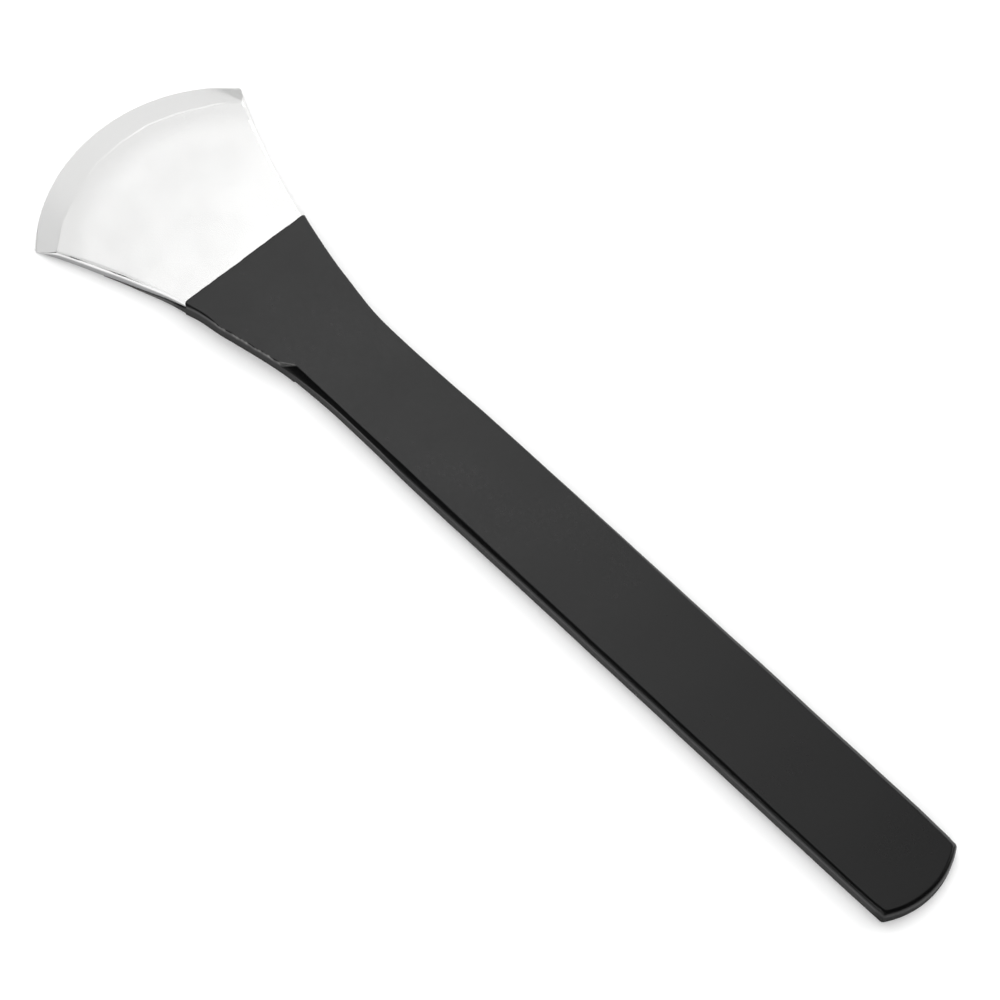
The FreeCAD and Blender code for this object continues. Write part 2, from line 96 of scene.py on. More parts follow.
# where the flat face ends and the worn long edges begin
FACE_LINE_TAIL, FACE_LINE_NECK = 8.22, 8.27
TAIL_ROUND, TAIL_DEEPER = 0.95, 0.25
RIGHT_ROUND_TAIL, RIGHT_ROUND_NECK = 0.95, 0.3
# roundness of the left edge at the tail, how much flatter it gets towards its stop, and how
# much shallower
LEFT_POWER, LEFT_FLATTER, LEFT_SHALLOWER = 1.8, 0.68, 0.16
STOP_X, STOP_Y = 40.6, 8.36
STOP_ANGLE = math.radians(55.0)
STOP_STEP = 0.06
# the flare's edge past the stop, and its sheared burr
FLARE_EDGE, FLARE_EDGE_GROWTH, FLARE_EDGE_X = 0.14, 0.2, 55.5
BURR, BURR_START, BURR_END = 0.14, 42.0, 54.0
LOWER_STOP_X = 39.6
COAT_LINE = 62.1
COAT_SKEW = math.tan(math.radians(2.9))
TONGUE_HEIGHT, TONGUE_END, TONGUE_STEPS = 2.3, 77.5, 40
# how far the layer's front edge is rounded: drop and run
LIP_DROP, LIP_RUN = 0.09, 0.17

# columns across the flat of each sheet, and how the meshes are finished
STEEL_COLUMNS, COAT_COLUMNS = 74, 24
WELD_DISTANCE = 0.002
SHARP_ANGLE = math.radians(38.0)
SLOPE_NUDGE = 0.05

# how far each side lies outside its drawn line, as (station, offset): differences that a measuring
# script found between the outline in the photograph and in test renders, thinned and rounded
LEFT_HAND = (
    (-97, -0.33), (-88, -0.24), (-60, -0.2), (-30, -0.15), (-12, -0.14), (4, -0.02), (14, -0.04),
    (34, -0.04), (42, -0.1), (54, 0.17), (61, -0.27), (66, -0.4), (72, -0.2), (80, -0.1), (90, 0.0),
)
RIGHT_HAND = (
    (-97, -0.3), (-88, -0.07), (-66, -0.04), (-57, 0.05), (-42, -0.06), (-15, -0.18), (3, -0.31),
    (30, -0.4), (38, -0.6), (48, -0.42), (58, -0.31), (68, -0.33), (78, -0.19), (90, 0.02),
)

WAIST_RUN = (NECK_X - WAIST_X) / 2


def dip(run, radius):
    """Height of a circle's arc over a run that starts at its crown."""
    return radius - np.sqrt(radius**2 - run**2)


NECK_HALF = HANDLE_HALF - 2 * dip(WAIST_RUN, WAIST_RADIUS)
FLARE_LEAN = math.asin((FLARE_X - NECK_X) / NECK_RADIUS)
FLARE_CX = FLARE_X - FLARE_RADIUS * math.sin(FLARE_LEAN)
FLARE_CY = NECK_HALF + dip(FLARE_X - NECK_X, NECK_RADIUS) + FLARE_RADIUS * math.cos(FLARE_LEAN)


def smin(a, b, k):
    """The smaller of two values, with the crease between them rounded."""
    overlap = np.maximum(k - np.abs(a - b), 0)
    return np.minimum(a, b) - overlap**2 / (4 * k)


def step(x):
    """Smooth step from 0 to 1."""
    x = np.clip(x, 0, 1)
    return x * x * (3 - 2 * x)


def bell(x, centre, width):
    """A smooth hump of height 1."""
    return np.exp(-(((x - centre) / width) ** 2))


def waves(x, seed, lengths):
    """Irregular waves of about unit height along x, one sine for each length."""
    total = 0
    for i, length in enumerate(lengths):
        total = total + np.sin(2 * np.pi * x / length + 1.7 * seed + 2.4 * i * seed)
    return total / len(lengths)


def along(x, knots):
    """A smooth run through (station, value) knots."""
    total = knots[0][1] + 0 * x
    for (x0, v0), (x1, v1) in zip(knots, knots[1:]):
        total = total + (v1 - v0) * step((x - x0) / (x1 - x0))
    return total


def ripple(x, y, seed, lengths):
    """Irregular undulation over the plan."""
    total = 0
    for i, length in enumerate(lengths):
        angle = seed + 2.1 * i
        run = x * math.cos(angle) + y * math.sin(angle)
        total = total + np.sin(2 * np.pi * run / length + 1.3 * seed * (i + 1))
    return total / len(lengths)


def side_half(x, side):
    """Half width of the bare forging at its underside, for side 1 (+Y) or -1."""
    half = HANDLE_HALF - dip(np.clip(x - WAIST_X, 0, WAIST_RUN), WAIST_RADIUS)
    half = np.where(
        x > WAIST_X + WAIST_RUN,
        NECK_HALF + dip(np.clip(NECK_X - x, 0, WAIST_RUN), WAIST_RADIUS),
        half,
    )
    half = np.where(
        x > NECK_X,
        NECK_HALF + dip(np.clip(x - NECK_X, 0, FLARE_X - NECK_X), NECK_RADIUS),
        half,
    )
    reach = np.clip(x - FLARE_CX, 0, FLARE_RADIUS * 0.9)
    half = np.where(x > FLARE_X, FLARE_CY - np.sqrt(FLARE_RADIUS**2 - reach**2), half)
    forged = np.where(side > 0, along(x, LEFT_HAND), along(x, RIGHT_HAND))
    hand = 0.03 * waves(x, np.where(side > 0, 1.0, 2.0), (61, 23, 11)) * step((x + 95) / 20)
    return half + forged + hand - TIP_EASE * step((x - TIP_EASE_X) / TIP_EASE_RUN)


def side_slope(x, side):
    """How steeply the outline flares out at a station."""
    ahead, behind = side_half(x + SLOPE_NUDGE, side), side_half(x - SLOPE_NUDGE, side)
    return (ahead - behind) / (2 * SLOPE_NUDGE)


def inset(x, y, cover):
    """Distance in plan inside the forging's outline, grown by the cover."""
    side = np.where(y >= 0, 1.0, -1.0)
    gap = (side_half(x, side) - np.abs(y)) / np.sqrt(1 + side_slope(x, side) ** 2) + cover
    tail = np.where(x < TAIL_CENTRE, TAIL_RADIUS + cover - np.hypot(x - TAIL_CENTRE, y), NO_LIMIT)
    gap = smin(gap, tail, TAIL_CORNER_BLEND)
    front = np.where(x > EDGE_CENTRE, EDGE_RADIUS - np.hypot(x - EDGE_CENTRE, y), NO_LIMIT)
    return smin(gap, front, TIP_BLEND)


def burr(x, y):
    """How far the sheared upper edge of the left flare stands out of its wall."""
    rough = BURR + 0.08 * waves(x, 2.0, (6.3, 3.7, 1.9))
    return np.where(y > 0, rough * step((x - BURR_START) / 3) * (1 - step((x - BURR_END) / 4)), 0)


def roll_off(gap, width, depth, power):
    """How far a worn edge has dropped, a gap inside its wall: power 2 is round, power 1 is flat."""
    inside = np.clip(1 - gap / width, 0, 1)
    return depth * (1 - (1 - inside**power) ** (1 / power))


# ---------------------------------------------------------------- heights
def long_edge(x, y, upper):
    """Width, depth and roundness of the coating's long edges and of its edge round the tail.

    The left edge is a worn chamfer with a sudden stop, the right one is softly rounded.
    """
    left = y > 0
    blend = np.clip((x - TAIL_X) / (STOP_X - TAIL_X), 0, 1)
    line = FACE_LINE_TAIL + (FACE_LINE_NECK - FACE_LINE_TAIL) * blend
    line = line + 0.05 * waves(x, np.where(left, 3.0, 4.0), (47, 19, 8.3))
    wall_top = side_half(x, np.where(left, 1.0, -1.0)) + COAT - (COAT_TOP - COAT_BASE) * DRAFT
    worn = wall_top - line
    if upper:
        past = (x - STOP_X) * math.cos(STOP_ANGLE) - (np.abs(y) - STOP_Y) * math.sin(STOP_ANGLE)
    else:
        past = x - LOWER_STOP_X
    stopped = np.clip(0.5 - past / STOP_STEP, 0, 1)
    flare = FLARE_EDGE + 0.05 * waves(x, 5.0, (9.1, 5.3, 3.1))
    flare = flare + FLARE_EDGE_GROWTH * step((x - FLARE_EDGE_X) / 3)
    worn = np.where(left, worn * stopped + flare * (1 - stopped), worn)
    fade = step((x + 60) / 75)
    far = RIGHT_ROUND_TAIL * (1 - fade) + RIGHT_ROUND_NECK * fade
    worn = np.where(left, worn, np.minimum(far, worn))
    at_tail = 1 - step((x - TAIL_X - 3.6) / 1.2)
    width = worn * (1 - at_tail) + TAIL_ROUND * at_tail
    if not upper:
        return 0.5 * width, 0.5 * width, 2.0 + 0 * x
    towards_stop = step((x + 10) / 35)
    chamfered = left & (width > 0.4)
    depth = width * (1 + TAIL_DEEPER * at_tail - LEFT_SHALLOWER * towards_stop * chamfered)
    return width, depth, np.where(chamfered, LEFT_POWER - LEFT_FLATTER * towards_stop, 2.0)


def face_height(x):
    """Height of the flat face, which the grinding slopes down towards the edge."""
    return STEEL_TOP - np.maximum(x - GRIND_X, 0) * GRIND_SLOPE


def facet_plane(sign):
    """Slopes and height of the flat ground across one tip: z = a x + b y + c."""
    def polar(radius, angle):
        return EDGE_CENTRE + radius * math.cos(angle), sign * radius * math.sin(angle)

    x, y = polar(FACET_INNER, FACET_END)
    corners = (
        (*polar(EDGE_RADIUS, FACET_START), STEEL_BASE),
        (*polar(EDGE_RADIUS - FACET_DEPTH, FACET_END), STEEL_BASE),
        (x, y, face_height(x)),
    )
    rows = np.array([[corner[0], corner[1], 1] for corner in corners])
    return np.linalg.solve(rows, np.array([corner[2] for corner in corners]))


FACETS = {1: facet_plane(1), -1: facet_plane(-1)}


def bevel_height(x, y):
    """Height of the bevel: an oblique cone through the cutting edge, and a flat at each tip."""
    behind = EDGE_CENTRE - x
    a = BEVEL_PULL**2 - (BEVEL_PULL - BEVEL_WIDTH) ** 2
    b = -2 * BEVEL_PULL * behind - 2 * EDGE_RADIUS * (BEVEL_PULL - BEVEL_WIDTH)
    c = behind**2 + y**2 - EDGE_RADIUS**2
    rise = (-b + np.sqrt(np.maximum(b**2 - 4 * a * c, 0))) / (2 * a)
    hand = 0.03 * waves(y, 1.3, (31, 13, 6.1))
    bevel = STEEL_BASE + BEVEL_HEIGHT * rise * (1 + hand)
    bevel = np.where(x > EDGE_CENTRE, bevel, NO_LIMIT)
    for sign, (slope_x, slope_y, level) in FACETS.items():
        plane = slope_x * x + slope_y * y + level
        bevel = np.where(sign * y > 10, smin(bevel, plane, FACET_BLEND), bevel)
    return bevel


def steel_top(x, y):
    """Upper surface of the steel before its edges are rounded."""
    face = face_height(x)
    forward = step((x - COAT_LINE) / (EDGE_X - 12 - COAT_LINE))
    right_leg = RIGHT_LEG + RIGHT_LEG_GROWTH * forward + 0.03 * waves(x, 1.9, (17, 7.3))
    leg = np.where(y > 0, STEEP_LEG, right_leg)
    gap = inset(x, y, 0.0) - (face - STEEL_BASE) * DRAFT
    chamfer = face - np.where(y > 0, STEEP_SLOPE, 1.0) * (leg - gap)
    # the left side was first eased with a shallow facet, widest half way to the tip
    ease = 0.4 + 0.5 * step((x - 64) / 12) - 0.35 * step((x - 79) / 8)
    slope = EASE_SLOPE * (0.55 + 0.45 * step((x - 66) / 12))
    eased = smin(chamfer, face - slope * (ease - gap), LEFT_CREASE)
    chamfer = np.where(y > 0, eased, chamfer)
    chamfer = np.where(x > GRIND_X, chamfer, NO_LIMIT)
    ground = smin(face, bevel_height(x, y), RIDGE_BLEND)
    top = smin(ground, chamfer, np.where(y > 0, LEFT_CREASE, RIGHT_CREASE))
    return np.maximum(top, STEEL_BASE + KEEN)


def steel_bottom(x, y):
    """Underside of the steel."""
    return STEEL_BASE + 0 * x


def coat_top(x, y):
    """Upper surface of the coating before its edges are rounded."""
    return COAT_TOP - 0.015 + 0.015 * ripple(x, y, 0.9, (31, 17, 9.7))


def coat_bottom(x, y):
    """Underside of the coating."""
    return COAT_BASE + 0 * x


def steel_edge(x, y, upper):
    """The steel's edges: one coat inside the bar's, soft beside the head, keen in front."""
    front = EDGE_RADIUS - np.hypot(x - EDGE_CENTRE, y)
    head = np.where(y > 0, LEFT_SOFT, RIGHT_SOFT) if upper else UNDER_SOFT
    head = np.where((x > EDGE_CENTRE) & (front < 1.2), KEEN_SOFT, head)
    covered = x < COAT_LINE - 4
    width, depth, power = long_edge(x, y, upper)
    inner = np.maximum(width - COAT, 0.02)
    return (
        np.where(covered, inner, head),
        np.where(covered, inner * depth / width, head),
        np.where(covered, power, 2.0),
    )


# ---------------------------------------------------------------- meshes
# distances from the outline of the first columns of points; one of them is the steep facet's
RIM = np.array([0, 0.012, 0.04, 0.08, 0.13, 0.19, STEEP_LEG, 0.34])
CREASE_COLUMN = list(RIM).index(STEEP_LEG)


def rim_steps(reach, spacing):
    """Distances from the outline: close together at the rounded edge, then evenly spaced."""
    return np.concatenate([RIM, np.arange(RIM[-1] + spacing, reach, spacing)])


def wall_gap(x, y, cover, base, height, up):
    """Distance in plan inside the wall at the height of the sheet there."""
    gap = inset(x, y, cover) - np.abs(height(x, y) - base) * DRAFT
    return gap + burr(x, y) if up and cover else gap


def settle(points, gap):
    """Moves points on to the line where gap is zero."""
    nudge = 0.01
    for _ in range(8):
        x, y = points[..., 0], points[..., 1]
        value = gap(x, y)
        gx = (gap(x + nudge, y) - gap(x - nudge, y)) / (2 * nudge)
        gy = (gap(x, y + nudge) - gap(x, y - nudge)) / (2 * nudge)
        scale = value / np.maximum(gx**2 + gy**2, 0.2)
        points = points - np.stack([gx * scale, gy * scale], -1)
    return points


def sheet_grid(rows, rim, inner, cover, gap, close_front):
    """Plan points of one sheet, fitted to the line where its gap is zero.

    Each row is (side station, share of the edge's arc, share of the tail's arc, skew). Its columns
    run from the left side to the right, at the rim's distances from both and evenly in between.
    Rows near the left chamfer's stop lean as it does.
    """
    station, front, tail, skew = np.array(rows, float).T
    lean = math.tan(STOP_ANGLE) * bell(station, STOP_X, 3.0)
    half = side_half(station, np.ones_like(station)) + cover

    def row_x(y):
        width = half[:, None]
        edge_arc = np.sqrt(EDGE_RADIUS**2 - np.clip(y, -33, 33) ** 2)
        edge_arc = edge_arc - np.sqrt(EDGE_RADIUS**2 - width**2)
        tail_radius = TAIL_RADIUS + cover
        tail_arc = np.sqrt(tail_radius**2 - np.clip(y, -15, 15) ** 2)
        tail_arc = tail_arc - np.sqrt(np.maximum(tail_radius**2 - width**2, 0))
        return (
            station[:, None] + front[:, None] * edge_arc - tail[:, None] * tail_arc
            + skew[:, None] * y + lean[:, None] * np.maximum(y - STOP_Y, 0)
        )

    ends = np.stack([half, -half], 1)
    ends = settle(np.stack([row_x(ends), ends], -1), gap)
    left, right = ends[:, 0], ends[:, 1]
    left_y, right_y = left[:, 1:2], right[:, 1:2]
    fractions = np.linspace(0, 1, inner + 1)[1:-1][None, :]
    y = np.concatenate([
        left_y - rim[None, :],
        (left_y - rim[-1]) * (1 - fractions) + (right_y + rim[-1]) * fractions,
        right_y + rim[None, ::-1],
    ], 1)
    share = (left_y - y) / (left_y - right_y)
    extra = ends[:, :, 0] - row_x(ends[:, :, 1])
    x = row_x(y) + extra[:, :1] * (1 - share) + extra[:, 1:] * share
    points = np.stack([x, y], -1)
    for index, closed in ((0, tail[0] > 0.5), (-1, close_front)):
        if closed:
            settled = settle(points[index], gap)
            shift = settled - points[index]
            away = np.abs(station - station[index])
            points = points + shift[None] * np.exp(-away / 2.0)[:, None, None]
            points[index] = settled
    points[:, 0] = left
    points[:, -1] = right
    return points


def lift(points, height, gap, edge, up):
    """Gives plan points their height, rounding the sheet off towards its wall."""
    x, y = points[..., 0], points[..., 1]
    drop = roll_off(np.maximum(gap(x, y), 0), *edge(x, y, up))
    z = height(x, y) - drop if up else height(x, y) + drop
    return np.stack([x, y, z], -1)


def quads(index):
    """Faces of a grid of vertex numbers."""
    a, b = index[:-1, :-1], index[:-1, 1:]
    c, d = index[1:, 1:], index[1:, :-1]
    return np.stack([a, b, c, d], -1).reshape(-1, 4)


def plate_mesh(top, bottom, levels, close_front):
    """One shell from an upper sheet, a lower sheet and the wall between their outlines."""
    count = top.shape[0] * top.shape[1]
    index = np.arange(count).reshape(top.shape[:2])

    def outline(grid):
        parts = [grid[::-1, 0], grid[0, 1:], grid[1:, -1]]
        if close_front:
            parts.append(grid[-1, -2::-1])
        return np.concatenate(parts)

    rim_top, rim_bottom = outline(index), outline(index) + count
    upper, lower = outline(top), outline(bottom)
    inner = np.stack([lower * (1 - f) + upper * f for f in levels[1:-1]])
    inner_index = 2 * count + np.arange(inner.shape[0] * inner.shape[1]).reshape(inner.shape[:2])
    wall = np.concatenate([rim_bottom[None], inner_index, rim_top[None]])
    vertices = np.concatenate([top.reshape(-1, 3), bottom.reshape(-1, 3), inner.reshape(-1, 3)])
    faces = np.concatenate([quads(index), quads(index + count)[:, ::-1], quads(wall)])
    return vertices, faces, wall


def add_object(name, vertices, faces):
    """A smooth-shaded mesh object from millimetre vertices."""
    mesh = bpy.data.meshes.new(name)
    mesh.from_pydata((np.array(vertices) * MM).tolist(), [], np.array(faces).tolist())
    mesh.validate()
    bm = bmesh.new()
    bm.from_mesh(mesh)
    bmesh.ops.remove_doubles(bm, verts=bm.verts, dist=WELD_DISTANCE * MM)
    bmesh.ops.recalc_face_normals(bm, faces=bm.faces)
    for face in bm.faces:
        face.smooth = True
    bm.to_mesh(mesh)
    bm.free()
    obj = bpy.data.objects.new(name, mesh)
    bpy.context.scene.collection.objects.link(obj)
    return obj


def spaced(*stretches):
    """Stations from (start, end, spacing) stretches that follow one another."""
    parts = [np.arange(start, end, gap) for start, end, gap in stretches]
    return np.concatenate(parts + [[stretches[-1][1]]])


def tail_rows(cover, reach, spacing):
    """Stations from the tail's corner inwards."""
    corner = TAIL_CENTRE - math.sqrt((TAIL_RADIUS + cover) ** 2 - (HANDLE_HALF + cover) ** 2)
    return corner + rim_steps(reach, spacing)


def tail_share(station):
    """How strongly a row follows the tail's arc."""
    return 1 - step((station - TAIL_CENTRE + 10) / 22)


def build_steel():
    """The forging: covered bar, ground head, bevel and cutting edge."""
    tail = tail_rows(0, 1.2, 0.2)
    tip = EDGE_X - 11.1
    head_start, bevel_start = 54.0, tip - 9.5
    bar = spaced((tail[-1] + 1, 38.0, 3.0), (38.0, 40.3, 0.35), (40.3, 40.9, 0.05),
                 (40.9, 45.0, 0.35), (45.0, head_start, 2.0))
    shares = np.linspace(0, 1, 50)
    head = head_start + (bevel_start - head_start) * shares
    # rows close up behind the cutting edge
    closing = np.array([2.0, 1.7, 1.4, 1.1, 0.8, 0.5, 0.3, 0.18, 0.1, 0.04, 0.015, 0.0])
    front = np.concatenate([bevel_start + np.arange(0.15, 7.5, 0.15), tip - closing])
    rows = [(x, 0, tail_share(x), 0) for x in (*tail, *bar)]
    rows += [(x, step(share), 0, 0) for x, share in zip(head, shares)][1:]
    rows += [(x, 1, 0, 0) for x in front]
    rim = rim_steps(1.9, 0.12)

    def top_gap(x, y):
        return wall_gap(x, y, 0.0, STEEL_BASE, steel_top, True)

    def low_gap(x, y):
        return wall_gap(x, y, 0.0, STEEL_BASE, steel_bottom, False)

    grid = sheet_grid(rows, rim, STEEL_COLUMNS, 0.0, top_gap, True)
    # one column of points follows the crease above the left wall's steep facet
    ground = (grid[:, CREASE_COLUMN, 0] > GRIND_X) & (grid[:, CREASE_COLUMN, 0] < tip - 1)
    crease = settle(grid[ground, CREASE_COLUMN], lambda x, y: top_gap(x, y) - STEEP_LEG)
    grid[ground, CREASE_COLUMN] = crease
    top = lift(grid, steel_top, top_gap, steel_edge, True)
    low_grid = sheet_grid(rows, rim, STEEL_COLUMNS, 0.0, low_gap, True)
    bottom = lift(low_grid, steel_bottom, low_gap, steel_edge, False)
    top[..., 2] = np.maximum(top[..., 2], bottom[..., 2] + 0.006)
    vertices, faces, _ = plate_mesh(top, bottom, np.linspace(0, 1, 6), True)
    blade = add_object("blade_and_tang", vertices, faces)
    blade.data.set_sharp_from_angle(angle=SHARP_ANGLE)
    return blade


def coat_front(y, half):
    """Station of the coating's front line, with hand-wiped wobble and rounded corners."""
    radius = np.where(y > 0, 0.8, 1.2)
    corner = np.clip((np.abs(y) - half + radius) / radius, 0, 1)
    wobble = 0.07 * waves(y, 2.2, (14, 6.2, 3.1))
    return COAT_LINE + COAT_SKEW * y + wobble - radius * (1 - np.sqrt(1 - 0.98 * corner**2))


def build_coating():
    """The black coating as a shell over the bar, with a tongue along each side of the head."""
    tail = tail_rows(COAT, 1.5, 0.09)
    end = COAT_LINE
    # rows close up at the chamfer's stop and behind the front line
    bar = spaced((tail[-1] + 0.3, 37.0, 1.0), (37.0, 39.8, 0.2), (39.8, 40.4, 0.08),
                 (40.4, 40.8, 0.02), (40.8, 43.0, 0.12), (43.0, end - 1.2, 0.3))
    closing = np.array([0.8, 0.5, 0.3, 0.17, 0.09, 0.04, 0.0])
    stations = np.concatenate([tail, bar, end - closing])
    skew = COAT_SKEW * step((stations - 46) / 14)
    rows = [(x, 0, tail_share(x), s) for x, s in zip(stations, skew)]
    rim = rim_steps(2.2, 0.09)

    def top_gap(x, y):
        return wall_gap(x, y, COAT, COAT_BASE, coat_top, True)

    def low_gap(x, y):
        return wall_gap(x, y, COAT, COAT_BASE, coat_bottom, False)

    sheets = []
    for gap, height, up in ((top_gap, coat_top, True), (low_gap, coat_bottom, False)):
        grid = sheet_grid(rows, rim, COAT_COLUMNS, COAT, gap, False)
        sheet = lift(grid, height, gap, long_edge, up)
        x, y = sheet[..., 0], sheet[..., 1]
        half = np.abs(y[-1]).max()
        pull = coat_front(y[-1], half) - x[-1]
        near = np.exp(-(end - stations) / 1.5)[:, None]
        sheet[..., 0] = x + pull[None] * near
        # the front edge of the layer is rounded off
        lip = LIP_DROP * (1 - np.clip((end - stations) / LIP_RUN, 0, 1)) ** 2
        sheet[..., 2] -= lip[:, None] if up else -lip[:, None]
        sheets.append(sheet)
    low_levels = 8
    levels = np.concatenate([np.linspace(0, 0.72, low_levels), np.linspace(0.72, 1, 4)[1:]])
    vertices, faces, wall = plate_mesh(*sheets, levels, False)
    vertices, faces = list(vertices), [tuple(face) for face in faces]
    for column in (0, -1):
        add_tongue(vertices, faces, list(wall[:low_levels, column]))
    return add_object("black_coating", vertices, faces)


def add_tongue(vertices, faces, start):
    """Continues the wall's lower part forwards as a tapering tongue."""
    first = np.array([vertices[i] for i in start])
    side = math.copysign(1, first[0, 1])
    previous = start
    for i in range(1, TONGUE_STEPS + 1):
        share = i / TONGUE_STEPS
        ring = []
        for point in first:
            x = point[0] + (TONGUE_END - point[0]) * share
            ceiling = TONGUE_HEIGHT + (STEEL_BASE - TONGUE_HEIGHT) * share**0.45
            low = first[0, 2] * (1 - share) + STEEL_BASE * share
            level = (point[2] - first[0, 2]) / (first[-1, 2] - first[0, 2])
            z = low + max(ceiling - low, 0.01) * level
            outwards = math.hypot(1, float(side_slope(x, side)))
            thin = COAT * (1 - 0.8 * share)
            half = float(side_half(x, side)) + (thin - (z - COAT_BASE) * DRAFT) * outwards
            ring.append(len(vertices))
            vertices.append(np.array([x, side * half, z]))
        for k in range(len(ring) - 1):
            faces.append((previous[k], previous[k + 1], ring[k + 1], ring[k]))
        previous = ring


def turn_in(obj, depth):
    """Turns the open front border of a shell inwards, so that the layer shows its thickness."""
    bm = bmesh.new()
    bm.from_mesh(obj.data)
    bm.normal_update()
    border = [edge for edge in bm.edges if edge.is_boundary]
    normals = {}
    for edge in border:
        for vertex in edge.verts:
            normals[vertex.co.copy().freeze()] = vertex.normal.copy()
    made = bmesh.ops.extrude_edge_only(bm, edges=border)
    for item in made["geom"]:
        if isinstance(item, bmesh.types.BMVert):
            item.co -= normals[item.co.copy().freeze()] * depth
    bmesh.ops.recalc_face_normals(bm, faces=bm.faces)
    for face in bm.faces:
        face.smooth = True
    bm.to_mesh(obj.data)
    bm.free()


def store_marks_and_painted_light(obj, marks_and_painted_light):
    """Stores a value at each vertex for the material: above 0 paler (painted highlights, and wear
    and thin places on the coating), 0 plain, below 0 darker (painted shade on the steel walls, and
    the bevel's left tip).
    """
    count = len(obj.data.vertices)
    places = np.empty(count * 3)
    obj.data.vertices.foreach_get("co", places)
    x, y, z = places.reshape(-1, 3).T / MM
    layer = obj.data.attributes.new("marks_and_painted_light", "FLOAT", "POINT")
    layer.data.foreach_set("value", marks_and_painted_light(x, y, z).astype(np.float32))


def steel_marks_and_painted_light(x, y, z):
    """A burnished line along the top of the bevel, brighter to the right, rough walls and dirt."""
    face, bevel = face_height(x), bevel_height(x, y)
    # painted highlight along the ridge between the face and the bevel, brighter to the right
    line = bell(face - bevel, 0, 0.035) * step((z - 1) / 0.2)
    line = line * (0.12 + 0.6 * step((2 - y) / 8)) * step((y + 20.5) / 2)
    front = EDGE_RADIUS - np.hypot(x - EDGE_CENTRE, y)
    wall = (inset(x, y, 0.0) < 0.07) & ((front > 0.8) | (x < EDGE_CENTRE))
    depth = np.minimum(face, bevel) - z
    # the bevel is darker towards its left tip
    left_bevel_darkening = 0.22 * step((y - 12) / 8) * step((front + 0.01) / 0.05)
    left_bevel_darkening = left_bevel_darkening * (bevel < face) * (depth < 0.05)
    # painted shade: the walls are darker more than 0.35 mm below the top
    return line - np.maximum(wall * step((depth - 0.35) / 0.3), left_bevel_darkening)


def coating_marks_and_painted_light(x, y, z):
    """The paler edge of the left flare, partly wear and partly a painted highlight, a painted
    highlight on the lip of the chamfer's stop, and the thin tongues.
    """
    outline = side_half(x, np.ones_like(x)) + COAT + burr(x, y)
    # the left flare's upper edge is paler, partly wear and partly a painted highlight
    flare = bell(y - outline, 0, 0.13) * step((x - BURR_START) / 1.5)
    flare = flare * (1 - step((x - BURR_END) / 3))
    reach = (x - STOP_X) * math.cos(STOP_ANGLE) - (y - STOP_Y) * math.sin(STOP_ANGLE)
    # a painted highlight on the lip of the chamfer's stop
    lip = 0.3 * bell(reach, 0.12, 0.12) * step((y - STOP_Y + 0.3) / 0.4) * (y < outline)
    patchy = np.clip(0.2 + 0.6 * waves(x, 1.0, (5.1, 2.3, 0.9)), 0, 1)
    pale_marks_and_highlight = np.maximum(flare * patchy, lip) * step((z - COAT_TOP + 0.9) / 0.4)
    tongue = 0.25 * step((x - COAT_LINE - 1) / 3)
    return np.maximum(pale_marks_and_highlight, tongue)


steel = build_steel()
coating = build_coating()
turn_in(coating, 1.1 * COAT * MM)
store_marks_and_painted_light(steel, steel_marks_and_painted_light)
store_marks_and_painted_light(coating, coating_marks_and_painted_light)


# ---------------------------------------------------------------- materials
class Nodes:
    """Short forms for building a node material."""

    def __init__(self, name):
        self.material = bpy.data.materials.new(name)
        self.material.use_nodes = True
        self.tree = self.material.node_tree
        self.shader = self.tree.nodes["Principled BSDF"]
        self.place = self.add("ShaderNodeTexCoord").outputs["Object"]

    def add(self, kind, inputs=None, **settings):
        node = self.tree.nodes.new(kind)
        for key, value in settings.items():
            setattr(node, key, value)
        for key, value in (inputs or {}).items():
            if isinstance(value, bpy.types.NodeSocket):
                self.tree.links.new(value, node.inputs[key])
            else:
                node.inputs[key].default_value = value
        return node

    def link(self, value, socket):
        self.tree.links.new(value, self.shader.inputs[socket])

    def marks_and_painted_light(self, low, high):
        """The stored marks and painted light, stretched so that low gives 0 and high gives 1."""
        value = self.add("ShaderNodeAttribute", attribute_name="marks_and_painted_light").outputs["Fac"]
        return self.ramp(value, low, high)

    def noise(self, scale, detail=3.0, roughness=0.55):
        return self.add("ShaderNodeTexNoise", {
            "Vector": self.place, "Scale": scale, "Detail": detail, "Roughness": roughness,
        }).outputs["Fac"]

    def bump(self, height, strength):
        """Links a fine relief to the shader."""
        inputs = {"Strength": strength, "Distance": 0.02 * MM, "Height": height}
        self.link(self.add("ShaderNodeBump", inputs).outputs["Normal"], "Normal")

    def ramp(self, value, low, high, out_low=0.0, out_high=1.0, kind="LINEAR"):
        return self.add("ShaderNodeMapRange", {
            0: value, 1: low, 2: high, 3: out_low, 4: out_high,
        }, interpolation_type=kind).outputs[0]

    def math(self, operation, a, b=0.0):
        return self.add("ShaderNodeMath", {0: a, 1: b}, operation=operation).outputs[0]

    def mix(self, factor, a, b):
        return self.add("ShaderNodeMix", {0: factor, 6: a, 7: b}, data_type="RGBA").outputs[2]


